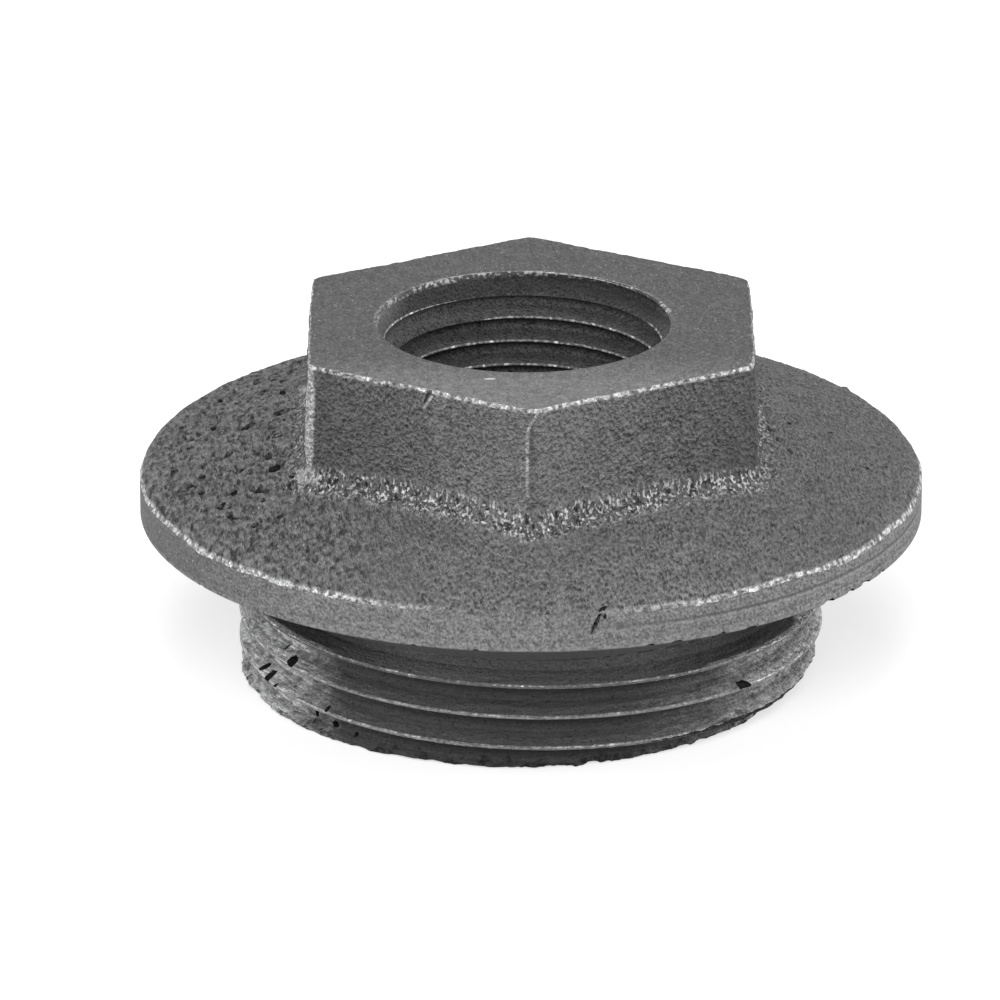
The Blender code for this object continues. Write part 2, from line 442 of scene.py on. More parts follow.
def thread_groove(name, root, crest, pitch, crest_height, low, high, steps, hand):
    """Sweep one groove's section along its helix, as the threading tool travels."""
    outward = 1 if crest > root else -1
    flank = math.tan(PIPE_THREAD_FLANK)
    root_half = pitch * TOOL_TIP
    crest_half = root_half + abs(crest - root) * flank
    half = [
        (root, root_half * TOOL_TIP_FLAT),
        (root + outward * TOOL_TIP_ROUND, root_half * TOOL_TIP_SIDE),
        (crest - outward * CREST_ROUND, crest_half - CREST_ROUND * flank),
        (crest + outward * CREST_ROUND, crest_half + CREST_ROUND * CREST_FLARE),
    ]
    section = [(r, -z) for r, z in reversed(half)] + half
    below = math.ceil((crest_height - low) / pitch) + 1
    turns = below + math.ceil((high - crest_height) / pitch)
    start = crest_height + pitch / 2 - below * pitch
    if hand < 0:
        start += turns * pitch
    bpy.ops.object.select_all(action="DESELECT")
    bpy.ops.mesh.primitive_circle_add(vertices=len(section), fill_type="NOTHING")
    tool = bpy.context.object
    tool.name = name
    for spot, (r, z) in zip(tool.data.vertices, section):
        spot.co = (0, r * hand, start + z)
    helix = tool.modifiers.new("helix", "SCREW")
    helix.axis = "Z"
    helix.angle = math.tau
    helix.screw_offset = hand * pitch
    helix.iterations = turns
    helix.steps = steps
    helix.render_steps = steps
    apply_all(tool)
    bpy.ops.object.mode_set(mode="EDIT")
    bpy.ops.mesh.select_all(action="DESELECT")
    bpy.ops.mesh.select_non_manifold()
    bpy.ops.mesh.edge_face_add()
    bpy.ops.mesh.select_all(action="SELECT")
    bpy.ops.mesh.normals_make_consistent(inside=False)
    bpy.ops.object.mode_set(mode="OBJECT")
    return tool


# Finishes
# Bare grey iron in five states: the sand skin, the ground top, the turned rim and
# sealing face, the cut outer thread, and the bore. They share one grain pattern.

IRON_TINT = (1, 1.003, 1.01)


def feed(tree, node, feeds):
    """Set a node's sockets, or link what feeds them."""
    for socket, value in feeds.items():
        if isinstance(value, bpy.types.NodeSocket):
            tree.links.new(value, node.inputs[socket])
        else:
            node.inputs[socket].default_value = value


def step(tree, kind, feeds, **settings):
    """Put one node in a tree, with its settings and what feeds it."""
    made = tree.nodes.new(kind)
    for key, value in settings.items():
        setattr(made, key, value)
    feed(tree, made, feeds)
    return made


def reckon(tree, operation, first, second=0.5, third=0.5, clamp=False):
    """Work one sum on values that change over the surface."""
    feeds = {0: first, 1: second, 2: third}
    made = step(tree, "ShaderNodeMath", feeds, operation=operation, use_clamp=clamp)
    return made.outputs[0]


def times(tree, *masks):
    product = masks[0]
    for mask in masks[1:]:
        product = reckon(tree, "MULTIPLY", product, mask)
    return product


def most(tree, *masks):
    highest = masks[0]
    for mask in masks[1:]:
        highest = reckon(tree, "MAXIMUM", highest, mask)
    return highest


def vector(tree, operation, first, second=(0, 0, 0)):
    feeds = {0: first, 1: second}
    return step(tree, "ShaderNodeVectorMath", feeds, operation=operation).outputs


def stretched(tree, where, factors):
    return vector(tree, "MULTIPLY", where, factors)[0]


def ramp(tree, value, low, high, start=0.0, end=1.0):
    """Go from start to end while a value goes from low to high, and hold past them."""
    feeds = {"Value": value, "From Min": low, "From Max": high, "To Min": start, "To Max": end}
    return step(tree, "ShaderNodeMapRange", feeds).outputs["Result"]


def line_at(tree, value, place, faded, full):
    """Draw a thin line where a value passes one place."""
    off = reckon(tree, "ABSOLUTE", reckon(tree, "SUBTRACT", value, place))
    return ramp(tree, off, faded, full)


def noise(tree, where, often, detail=2.0, rough=0.5):
    feeds = {"Vector": where, "Scale": often, "Detail": detail, "Roughness": rough}
    return step(tree, "ShaderNodeTexNoise", feeds).outputs["Fac"]


def cloud(tree, where, size, detail=2.0, rough=0.5):
    return noise(tree, where, 1 / size, detail, rough)


def blend(tree, amount, first, second):
    feeds = {0: amount, 6: first, 7: second}
    return step(tree, "ShaderNodeMix", feeds, data_type="RGBA").outputs[2]


def iron(level):
    """Give the grey of iron, from 0 for black to 1 for white."""
    return tuple(level * part for part in IRON_TINT) + (1,)


def tint(tree, colour, mask, level, share=None):
    """Lay one grey over a colour where a mask says, or by a share of the mask."""
    if share:
        mask = times(tree, mask, share)
    return blend(tree, mask, colour, iron(level))


# Measures of the plug that the finishes read: the distance from its axis, the
# reach past the hexagon's sides, and the height above the floor, all in metres.

CAST_STRETCH = (1.1, 0.42, 0.85)

plug_measure = bpy.data.node_groups.new("plug_measure", "ShaderNodeTree")
for reading in ("Radius", "Past Hexagon", "Height", "Across", "Aside", "Depth"):
    plug_measure.interface.new_socket(reading, in_out="OUTPUT", socket_type="NodeSocketFloat")
for reading in ("Place", "Drawn Place"):
    plug_measure.interface.new_socket(reading, in_out="OUTPUT", socket_type="NodeSocketVector")
where = step(plug_measure, "ShaderNodeTexCoord", {}).outputs["Object"]
apart = step(plug_measure, "ShaderNodeSeparateXYZ", {0: where}).outputs
reach = 0.0
for side in range(3):
    facing = math.radians(60 * side)
    outward = (math.cos(facing), math.sin(facing), 0)
    along = vector(plug_measure, "DOT_PRODUCT", where, outward)["Value"]
    reach = most(plug_measure, reach, reckon(plug_measure, "ABSOLUTE", along))
drop = reckon(plug_measure, "SUBTRACT", HEIGHT, apart["Z"])
flat_side = reckon(plug_measure, "MULTIPLY_ADD", drop, math.tan(HEX_LEAN), HEX_ACROSS / 2)
plan = stretched(plug_measure, where, (1, 1, 0))
step(
    plug_measure,
    "NodeGroupOutput",
    {
        "Radius": vector(plug_measure, "LENGTH", plan)["Value"],
        "Past Hexagon": reckon(plug_measure, "SUBTRACT", reach, flat_side),
        "Height": apart["Z"],
        "Across": apart["X"],
        "Aside": reckon(plug_measure, "ABSOLUTE", apart["X"]),
        "Depth": apart["Y"],
        "Place": where,
        "Drawn Place": stretched(plug_measure, where, CAST_STRETCH),
    },
)

# The grain of the iron: fine sand peaks that catch light, and small dark pores. Each
# peak is lit from one side, which is where the grain is read a second time.

PEAK_DETAIL = 1.6
PEAK_ROUGHNESS = 0.6
LIT_FROM = (0.15, 0.4, 0.45)
LIT_STRENGTH = 0.9
SWELL_SHARE = 0.5
FLECK_CUT = (0.78, 0.52)
PORE_CUT = (0.22, 0.48)
MARK_SHARPNESS = 12.0

iron_grain = bpy.data.node_groups.new("iron_grain", "ShaderNodeTree")
iron_grain.interface.new_socket("Place", in_out="INPUT", socket_type="NodeSocketVector")
for wanted in ("Grain Size", "Fleck Share", "Pore Share"):
    iron_grain.interface.new_socket(wanted, in_out="INPUT", socket_type="NodeSocketFloat")
for reading in ("Relief", "Shade", "Fleck", "Pore"):
    iron_grain.interface.new_socket(reading, in_out="OUTPUT", socket_type="NodeSocketFloat")
given = step(iron_grain, "NodeGroupInput", {}).outputs
where = given["Place"]
often = reckon(iron_grain, "DIVIDE", 1.0, given["Grain Size"])
sand = noise(iron_grain, where, often, PEAK_DETAIL, PEAK_ROUGHNESS)
swell = noise(iron_grain, where, times(iron_grain, often, 0.3))
peaks = noise(iron_grain, where, times(iron_grain, often, 1.37), 1.0)
holes = noise(iron_grain, where, times(iron_grain, often, 0.71), 1.5)
feeds = {0: LIT_FROM, "Scale": given["Grain Size"]}
shift = step(iron_grain, "ShaderNodeVectorMath", feeds, operation="SCALE").outputs[0]
beside = vector(iron_grain, "ADD", where, shift)[0]
beside = noise(iron_grain, beside, often, PEAK_DETAIL, PEAK_ROUGHNESS)
lit = reckon(iron_grain, "SUBTRACT", sand, beside)
lit = reckon(iron_grain, "MULTIPLY_ADD", lit, LIT_STRENGTH, sand)
lit = reckon(iron_grain, "MULTIPLY_ADD", swell, SWELL_SHARE, lit)
fleck_line = ramp(iron_grain, given["Fleck Share"], 0, 1, *FLECK_CUT)
fleck = reckon(iron_grain, "SUBTRACT", peaks, fleck_line)
fleck = reckon(iron_grain, "MULTIPLY", fleck, MARK_SHARPNESS, clamp=True)
pore_line = ramp(iron_grain, given["Pore Share"], 0, 1, *PORE_CUT)
pore = reckon(iron_grain, "SUBTRACT", pore_line, holes)
pore = reckon(iron_grain, "MULTIPLY", pore, MARK_SHARPNESS, clamp=True)
relief = reckon(iron_grain, "MULTIPLY_ADD", swell, SWELL_SHARE, sand)
relief = reckon(iron_grain, "MULTIPLY_ADD", fleck, 0.4, relief)
relief = reckon(iron_grain, "MULTIPLY_ADD", pore, -0.6, relief)
shade = ramp(iron_grain, lit, 0.35, 1.15)
step(
    iron_grain,
    "NodeGroupOutput",
    {"Relief": relief, "Shade": shade, "Fleck": fleck, "Pore": pore},
)


def finish(name):
    """Start a finish: its material, its Principled shader and the plug's measures."""
    made = bpy.data.materials.new(name)
    made.use_nodes = True
    tree = made.node_tree
    measure = step(tree, "ShaderNodeGroup", {}, node_tree=plug_measure).outputs
    return made, tree, tree.nodes["Principled BSDF"], measure


def grain_of(tree, where, size, flecks, pores):
    feeds = {"Place": where, "Grain Size": size, "Fleck Share": flecks, "Pore Share": pores}
    return step(tree, "ShaderNodeGroup", feeds, node_tree=iron_grain).outputs


def bumped(tree, height, strength, distance):
    feeds = {"Height": height, "Strength": strength, "Distance": distance}
    return step(tree, "ShaderNodeBump", feeds).outputs["Normal"]


# Sand skin: dark and grainy, darkest on the pored left side, with bright worn iron along the
# hexagon's edges and in the ragged fillet, and a painted highlight round the edge of the
# flange.
# A band is a pair of measures in metres, from where a mark is faint to where it is full.

SKIN_GRAIN = 0.00024
LEFT_GRAIN = 0.00036
FOOT_GRAIN = 0.00031
FOOT_STRETCH = (1, 0.58, 0.58)
PATCHES = 0.006
POCKS = 0.0007
END_POCKS = 0.00075
BREAKS = 0.0004
FOOT_MOTTLE = 0.002
END_MOTTLE = 0.0008
SIDE_SHADE_BAND = (0.013, 0.022)
LEFT_BAND = (-0.007, -0.014)
LEFT_PAST_HEXAGON = (0.0004, 0.001)
LEFT_ABOVE_RIM = (0.0138, 0.0142)
POCK_BAND = (-0.013, -0.019)
POCK_PAST_HEXAGON = (0.0005, 0.002)
SUNK_BELOW_CONE = (-0.00015, -0.00026)
SUNK_INSIDE_RIM = (0.0266, 0.0262)
CHIP_INSIDE_HEXAGON = (-0.00008, -0.0002)
CHIP_BELOW_TOP = (-0.0002, -0.0005)
HEXAGON_SIDE = (0.0006, 0.0002)
FAR_END_BAND = (0.006, 0.0145)
NEAR_END_BAND = (0.008, 0.002)
FOOT_INNER = (-0.0003, 0.0)
FOOT_OUTER = (0.0021, 0.0009)
FOOT_HIGH = (0.0012, 0.0006)
FOOT_SIDES = (0.0157, 0.0169)
END_BAND = (0.0042, 0.0034)
END_LEFT_BAND = (-0.0085, -0.0135)
END_POCK_BAND = (0.0026, 0.0016)
END_POCK_LEFT_BAND = (-0.007, -0.0115)
CROWN_BAND = (-0.00036, -0.00022)
HEXAGON_SKIN = (0.0008, 0.0004)
FRONT_BAND = (0, -0.001)
LEFT_CORNER_BAND = (-0.010, -0.012)
CORNER_LINE = 0.00036
CORNER_LINE_FADE = 0.0001
CORNER_LEAN = 1.15 * math.tan(HEX_LEAN)
FRONT_LINE = -0.00032
FRONT_LINE_WIDTH = (0.00015, 0.00005)
FRONT_LINE_LENGTH = (-0.0066, -0.0058)
FRONT_LINE_BEND = -0.001
FRONT_LINE_BEND_FROM = -0.0021
SCRATCH = (-0.0069, 0.0257)
SCRATCH_LEAN = -0.58
SCRATCH_WIDTH = (0.00014, 0.00005)
SCRATCH_LENGTH = (-0.0016, -0.0013)
RIM_HIGHLIGHT_BAND = (FLANGE_RADIUS - 0.00024, FLANGE_RADIUS - 0.00012)
RIM_HIGHLIGHT_SIDES = (0.004, 0.014)

sand_skin, tree, shader, measure = finish("sand_skin")
place = measure["Place"]
across = measure["Across"]
aside = measure["Aside"]
height = measure["Height"]
past = measure["Past Hexagon"]
above_top = reckon(tree, "SUBTRACT", height, HEIGHT)
cone_tip = cone_start + cone_radius * math.tan(CONE_ANGLE)
cone_line = reckon(tree, "MULTIPLY_ADD", measure["Radius"], -math.tan(CONE_ANGLE), cone_tip)
over_cone = reckon(tree, "SUBTRACT", height, cone_line)
grain = grain_of(tree, measure["Drawn Place"], SKIN_GRAIN, flecks=0.45, pores=0.4)
colour = blend(tree, grain["Shade"], iron(0.022), iron(0.245))
patch = ramp(tree, cloud(tree, place, PATCHES), 0.3, 0.7)
colour = tint(tree, colour, patch, level=0.075, share=0.3)
# Painted shade: the flange is darker towards its far left and right.
colour = tint(tree, colour, ramp(tree, aside, *SIDE_SHADE_BAND), level=0.05, share=0.27)
colour = tint(tree, colour, grain["Fleck"], level=0.38, share=0.65)
colour = tint(tree, colour, grain["Pore"], level=0.015, share=0.85)

left = times(
    tree,
    ramp(tree, across, *LEFT_BAND, 0, 0.85),
    ramp(tree, past, *LEFT_PAST_HEXAGON),
    ramp(tree, height, *LEFT_ABOVE_RIM),
)
left_grain = grain_of(tree, measure["Drawn Place"], LEFT_GRAIN, flecks=0.5, pores=0.75)
left_colour = blend(tree, left_grain["Shade"], iron(0.008), iron(0.24))
colour = blend(tree, left, colour, left_colour)
colour = tint(tree, colour, times(tree, left_grain["Fleck"], left), level=0.36, share=0.8)
colour = tint(tree, colour, times(tree, left_grain["Pore"], left), level=0.01)

# Painted shade: the pock marks, the pits in the flange and the chip in the hexagon are
# darkened to near black, as the shade inside them.
pocks = times(
    tree,
    ramp(tree, cloud(tree, measure["Drawn Place"], POCKS, 1.0, 0.6), 0.33, 0.28),
    ramp(tree, across, *POCK_BAND),
    ramp(tree, past, *POCK_PAST_HEXAGON),
)
in_pit = times(
    tree,
    ramp(tree, over_cone, *SUNK_BELOW_CONE),
    ramp(tree, measure["Radius"], *SUNK_INSIDE_RIM),
)
in_chip = times(
    tree,
    ramp(tree, past, *CHIP_INSIDE_HEXAGON),
    ramp(tree, above_top, *CHIP_BELOW_TOP, 0, 0.6),
)
colour = tint(tree, colour, most(tree, in_pit, in_chip, pocks), level=0.007, share=0.93)

# Painted light and shade on the hexagon's sides: darker towards their far ends, lighter near
# the front and back corners.
on_side = ramp(tree, past, *HEXAGON_SIDE)
far_end_shade = times(tree, ramp(tree, aside, *FAR_END_BAND), on_side)
colour = tint(tree, colour, far_end_shade, level=0.04, share=0.5)
near_end_light = times(tree, ramp(tree, aside, *NEAR_END_BAND), on_side)
colour = tint(tree, colour, near_end_light, level=0.25, share=0.22)

foot = times(
    tree,
    ramp(tree, past, *FOOT_INNER),
    ramp(tree, past, *FOOT_OUTER),
    ramp(tree, over_cone, *FOOT_HIGH),
    ramp(tree, cloud(tree, place, FOOT_MOTTLE), 0.3, 0.5, 0.6, 1),
    ramp(tree, aside, *FOOT_SIDES, 1, 0.35),
)
squeezed = stretched(tree, place, FOOT_STRETCH)
foot_grain = grain_of(tree, squeezed, FOOT_GRAIN, flecks=1.0, pores=0.85)
colour = tint(tree, colour, times(tree, foot, foot_grain["Pore"]), level=0.006)
foot_fleck = times(tree, foot, foot_grain["Fleck"], 0.95)
colour = blend(tree, foot_fleck, colour, blend(tree, grain["Shade"], iron(0.36), iron(0.95)))

# Painted light: the spigot's cast end is lighter on its left side.
end_left_light = times(
    tree,
    ramp(tree, height, *END_BAND),
    ramp(tree, across, *END_LEFT_BAND),
    ramp(tree, cloud(tree, place, END_MOTTLE), 0.36, 0.52, 0.2, 1),
)
colour = blend(tree, end_left_light, colour, blend(tree, grain["Shade"], iron(0.1), iron(0.62)))
# Painted shade: near-black pocks low on the left of the spigot's end, as the dark inside pits.
end_pocks = times(
    tree,
    ramp(tree, cloud(tree, place, END_POCKS, 1.0), 0.48, 0.43),
    ramp(tree, height, *END_POCK_BAND),
    ramp(tree, across, *END_POCK_LEFT_BAND),
)
colour = tint(tree, colour, end_pocks, level=0.007, share=0.95)

on_hexagon = ramp(tree, past, *HEXAGON_SKIN)
in_front = ramp(tree, measure["Depth"], *FRONT_BAND)
corner = reckon(tree, "SUBTRACT", measure["Radius"], hex_corner - CORNER_LINE)
corner = reckon(tree, "MULTIPLY_ADD", above_top, CORNER_LEAN, corner)
left_corner = times(
    tree,
    ramp(tree, corner, 0, CORNER_LINE_FADE),
    on_hexagon,
    ramp(tree, across, *LEFT_CORNER_BAND),
)
bend = ramp(tree, above_top, FRONT_LINE_BEND_FROM, 0)
bend = reckon(tree, "MULTIPLY_ADD", times(tree, bend, bend), FRONT_LINE_BEND, across)
front_corner = times(
    tree,
    line_at(tree, bend, FRONT_LINE, *FRONT_LINE_WIDTH),
    on_hexagon,
    ramp(tree, above_top, *FRONT_LINE_LENGTH),
    in_front,
    0.8,
)
slant = reckon(tree, "SUBTRACT", height, SCRATCH[1])
slant = reckon(tree, "MULTIPLY_ADD", slant, SCRATCH_LEAN, across)
scratch = times(
    tree,
    line_at(tree, slant, SCRATCH[0], *SCRATCH_WIDTH),
    ramp(tree, above_top, *SCRATCH_LENGTH),
    in_front,
    on_hexagon,
    0.8,
)
corners = most(tree, left_corner, front_corner, scratch)
broken = ramp(tree, cloud(tree, place, BREAKS, 1.0), 0.38, 0.62, 0.1, 1)
crown = times(tree, ramp(tree, above_top, *CROWN_BAND), broken)
crown = most(tree, crown, times(tree, corners, ramp(tree, broken, 0, 1, 0.3, 0.8)))
colour = tint(tree, colour, crown, level=0.6)
# Painted highlight: a bright broken line round the flange's rim, faint in front and strongest
# on the left and right.
rim_highlight = times(
    tree,
    ramp(tree, measure["Radius"], *RIM_HIGHLIGHT_BAND),
    ramp(tree, aside, *RIM_HIGHLIGHT_SIDES, 0.12, 1),
    ramp(tree, cloud(tree, place, BREAKS, 1.0), 0.4, 0.62, 0.12, 1),
)
colour = tint(tree, colour, rim_highlight, level=0.68)

# The worn crown, the painted rim highlight and the painted light on the spigot's end are made
# shinier.
worn_and_lit = most(tree, crown, rim_highlight, end_left_light)
relief = times(tree, foot, foot_grain["Relief"])
relief = reckon(tree, "MULTIPLY_ADD", relief, 1.6, grain["Relief"])
relief = reckon(tree, "MULTIPLY_ADD", pocks, -1.5, relief)
left_relief = times(tree, left, left_grain["Relief"])
relief = reckon(tree, "MULTIPLY_ADD", left_relief, 0.9, relief)
looks = {
    "Base Color": colour,
    "Metallic": ramp(tree, worn_and_lit, 0, 1, 0.2, 0.6),
    "Roughness": ramp(tree, most(tree, worn_and_lit, grain["Fleck"]), 0, 1, 0.65, 0.42),
    "Normal": bumped(tree, relief, strength=1.0, distance=0.0005),
}
feed(tree, shader, looks)

# Ground top: faced smooth and matt, with a faint speckle, its colour painted lighter towards
# the front as painted light, a painted highlight along the bore's back lip, and one bright
# nick beside the bore.

TOP_GRAIN = 0.0002
TOP_MOTTLE = 0.0009
TOP_FRONT_LIGHT_BAND = (-0.0065, -0.0125)
TOP_EDGE_BAND = (-0.00025, -0.00005)
TOP_EDGE_FRONT = (0.001, -0.003)
TOP_EDGE_BREAKS = 0.0006
LIP_BAND = (MOUTH_RADIUS + 0.00028, MOUTH_RADIUS + 0.00008)
LIP_BACK = (-0.002, 0.003)
LIP_SPOTS = 0.00034
LIP_STRETCHES = 0.0016
LIP_LEFT = (0.001, -0.006)
TOP_NICK = (-0.0029, -0.0118, 0)
NICK_BAND = (0.00028, 0.0002)
NICK_STRETCH = (0.62, 1.5, 0)


def spots_along_lip(tree, measure):
    """Break the painted highlight along the bore's lip into spots, more of them on the left.
    """
    fine = cloud(tree, measure["Place"], LIP_SPOTS, 1.0)
    wide = cloud(tree, measure["Place"], LIP_STRETCHES)
    spots = reckon(tree, "MULTIPLY_ADD", wide, 0.5, fine)
    return reckon(tree, "ADD", spots, ramp(tree, measure["Across"], *LIP_LEFT, 0, 0.05))


ground_top, tree, shader, measure = finish("ground_top")
place = measure["Place"]
grain = grain_of(tree, measure["Drawn Place"], TOP_GRAIN, flecks=0.45, pores=0.5)
# Painted light: the top is lighter towards the front.
front = ramp(tree, measure["Depth"], *TOP_FRONT_LIGHT_BAND)
colour = blend(tree, front, iron(0.102), iron(0.225))
mottle = ramp(tree, cloud(tree, place, TOP_MOTTLE, 3.0, 0.65), 0.35, 0.65)
colour = tint(tree, colour, mottle, level=0.05, share=0.45)
shade = times(tree, ramp(tree, grain["Shade"], 0, 1, 1, 0), ramp(tree, front, 0, 1, 0.9, 0.5))
colour = tint(tree, colour, shade, level=0.03)
colour = tint(tree, colour, grain["Fleck"], level=0.37, share=0.6)
colour = tint(tree, colour, grain["Pore"], level=0.035, share=0.6)
edge = times(
    tree,
    ramp(tree, measure["Past Hexagon"], *TOP_EDGE_BAND),
    ramp(tree, cloud(tree, place, TOP_EDGE_BREAKS), 0.45, 0.62),
    ramp(tree, measure["Depth"], *TOP_EDGE_FRONT),
)
colour = tint(tree, colour, edge, level=0.42)
from_mouth = vector(tree, "SUBTRACT", place, (MOUTH_OFFSET, 0, 0))[0]
from_mouth = vector(tree, "LENGTH", stretched(tree, from_mouth, (1, 1, 0)))["Value"]
# Painted highlight in spots along the back of the bore's lip.
lip = times(
    tree,
    ramp(tree, from_mouth, *LIP_BAND),
    ramp(tree, measure["Depth"], *LIP_BACK),
    ramp(tree, spots_along_lip(tree, measure), 0.78, 0.9, 0.15, 1),
)
colour = tint(tree, colour, lip, level=0.45)
nick = Vector(TOP_NICK) * Vector(NICK_STRETCH)
nick = vector(tree, "DISTANCE", stretched(tree, place, NICK_STRETCH), nick)["Value"]
colour = tint(tree, colour, ramp(tree, nick, *NICK_BAND), level=0.6)
looks = {
    "Base Color": colour,
    "Metallic": 0.25,
    "Roughness": ramp(tree, grain["Shade"], 0, 1, 0.6, 0.5),
    "Normal": bumped(tree, grain["Relief"], strength=0.5, distance=0.00005),
}
feed(tree, shader, looks)

# Turned iron: the rim, the sealing face and the relief neck, with fine tool lines.
# On the rim's right side run a painted shadow line and, below it, a painted highlight line.

RIM_GRAIN = 0.0002
TOOL_LINES = 0.0003
RIM_LEFT_SHADE_BAND = (-0.015, -0.024)
RIM_LIP_BAND = (SEAL_HEIGHT + SEAL_EDGE + 0.0003, SEAL_HEIGHT + SEAL_EDGE)
RIM_RIGHT_BAND = (0.002, 0.014)
SHADOW_LINE_HEIGHT = 0.01365
HIGHLIGHT_LINE_HEIGHT = 0.0134
SHADOW_AND_HIGHLIGHT_WIDTH = (0.00014, 0.00004)
SEAL_FACE_BAND = (SEAL_HEIGHT + 0.00004, SEAL_HEIGHT - 0.00002)
SEAL_FACE_ABOVE = (0.005, 0.007)
SHADE_SIDES = (0.008, 0.015)
SPIGOT_FACE_BAND = (0.002, 0.001)

turned_rim, tree, shader, measure = finish("turned_rim")
place = measure["Place"]
across = measure["Across"]
height = measure["Height"]
grain = grain_of(tree, measure["Drawn Place"], RIM_GRAIN, flecks=0.45, pores=0.4)
rings = step(tree, "ShaderNodeCombineXYZ", {"X": measure["Radius"], "Z": height})
tool_lines = cloud(tree, rings.outputs[0], TOOL_LINES)
colour = blend(tree, ramp(tree, tool_lines, 0.3, 0.7), iron(0.245), iron(0.33))
# Painted shade: the rim is darker on its left side.
colour = tint(tree, colour, ramp(tree, across, *RIM_LEFT_SHADE_BAND), level=0.07, share=0.58)
colour = tint(tree, colour, ramp(tree, grain["Shade"], 0, 1, 0.9, 0), level=0.06)
colour = tint(tree, colour, grain["Fleck"], level=0.42, share=0.6)
colour = tint(tree, colour, grain["Pore"], level=0.04, share=0.6)
lip = times(
    tree,
    ramp(tree, height, *RIM_LIP_BAND),
    ramp(tree, cloud(tree, place, BREAKS), 0.4, 0.6, 0, 0.6),
)
colour = tint(tree, colour, lip, level=0.36)
# Painted shade and highlight: a dark line and a pale line round the rim's right side.
right = ramp(tree, across, *RIM_RIGHT_BAND, 0, 0.7)
shadow_line = times(tree, line_at(tree, height, SHADOW_LINE_HEIGHT, *SHADOW_AND_HIGHLIGHT_WIDTH), right)
colour = tint(tree, colour, shadow_line, level=0.07)
highlight_line = times(tree, line_at(tree, height, HIGHLIGHT_LINE_HEIGHT, *SHADOW_AND_HIGHLIGHT_WIDTH), right)
colour = tint(tree, colour, highlight_line, level=0.4, share=0.4)
# Painted shade: the sealing face under the flange is darkened, more so towards the left and
# right.
seal_face = times(
    tree,
    ramp(tree, height, *SEAL_FACE_BAND),
    ramp(tree, height, *SEAL_FACE_ABOVE),
    0.9,
)
under_shade_colour = blend(tree, ramp(tree, measure["Aside"], *SHADE_SIDES), iron(0.085), iron(0.03))
colour = blend(tree, seal_face, colour, under_shade_colour)
colour = tint(tree, colour, ramp(tree, height, *SPIGOT_FACE_BAND), level=0.05, share=0.5)
relief = reckon(tree, "MULTIPLY_ADD", grain["Relief"], 0.8, tool_lines)
looks = {
    "Base Color": colour,
    "Metallic": 0.4,
    "Roughness": ramp(tree, tool_lines, 0, 1, 0.45, 0.6),
    "Normal": bumped(tree, relief, strength=0.5, distance=0.00006),
}
feed(tree, shader, looks)

# Cut thread: grooves painted dark as painted shade, bright broken crests that are worn and
# also painted as highlights, and left and right sides painted bright as painted light. It is
# painted dark under the flange as painted shadow, and stays raw where the spigot's cast end
# was never cut.

THREAD_GRAIN = 0.0002
STREAKS = 0.0007
STREAK_STRETCH = (1, 1, 3)
THREAD_LINES = 0.00025
THREAD_LINE_STRETCH = (0.1, 0.1, 1)
SIDE_LIGHT_BAND = (0.0145, 0.0185)
SIDE_LIGHT_MIDDLE = -0.0008
SIDE_LIGHT_WANDER = 0.0015
SIDE_LIGHT_WANDER_REACH = 0.004
HALF_SIDE_LIGHT_BAND = (0.0065, 0.0115)
HALF_SIDE_LIGHT_LOW = (0.0058, 0.0046)
GROOVE_BAND = (thread_root + 0.0011, thread_root + 0.0006)
GROOVE_LIGHT_BAND = (0, 0.012)
WEDGE_ENDS = (-0.0187, 0.0187)
WEDGE_LOW = (0.0068, 0.0057)
WEDGE_FADE = 0.0003
WEDGE_BELOW_CREST = (shank - 0.0002, shank - 0.0004)
SHADOW_GAP_SIDES = (0.0185, 0.0191)
SHADOW_GAP_LOW = (0.0078, 0.0074)
UNDER_FLANGE_BAND = (0.006, 0.0072)
RAW_ENDS = (-0.010, -0.017)
RAW_LOWER = (0.0005, 0.0002)
RAW_WANDER = 0.0012
RAW_WANDER_REACH = 0.003
RAW_BAND = (0.0015, 0.0012)
CREST_BAND = (shank - 0.00016, shank - 0.00008)
RAW_GRAIN = 0.00028
CREST_BREAKS = 0.0003
CREST_GLINTS = 0.0007

cut_thread, tree, shader, measure = finish("cut_thread")
place = measure["Place"]
across = measure["Across"]
aside = measure["Aside"]
height = measure["Height"]
grain = grain_of(tree, place, THREAD_GRAIN, flecks=0.3, pores=0.5)
streaks = cloud(tree, stretched(tree, place, STREAK_STRETCH), STREAKS, 3.0)
tool_lines = cloud(tree, stretched(tree, place, THREAD_LINE_STRETCH), THREAD_LINES)
tool_lines = ramp(tree, tool_lines, 0.35, 0.65)
colour = blend(tree, ramp(tree, streaks, 0.36, 0.64), iron(0.16), iron(0.78))
colour = tint(tree, colour, tool_lines, level=0.85, share=0.5)
colour = tint(tree, colour, ramp(tree, grain["Shade"], 0, 1, 0.6, 0), level=0.09)

# Painted light: the thread's left and right sides, and part of its lower right, are kept
# bright where the rest is painted into shade.
wander = times(tree, cloud(tree, place, SIDE_LIGHT_WANDER), SIDE_LIGHT_WANDER_REACH)
side_light = reckon(tree, "ABSOLUTE", reckon(tree, "SUBTRACT", across, SIDE_LIGHT_MIDDLE))
side_light = ramp(tree, reckon(tree, "ADD", side_light, wander), *SIDE_LIGHT_BAND)
half_side_light = times(
    tree,
    ramp(tree, across, *HALF_SIDE_LIGHT_BAND, 0, 0.24),
    ramp(tree, height, *HALF_SIDE_LIGHT_LOW),
)
side_light = most(tree, side_light, half_side_light)
groove_light = times(tree, side_light, ramp(tree, across, *GROOVE_LIGHT_BAND, 0.9, 0.62))
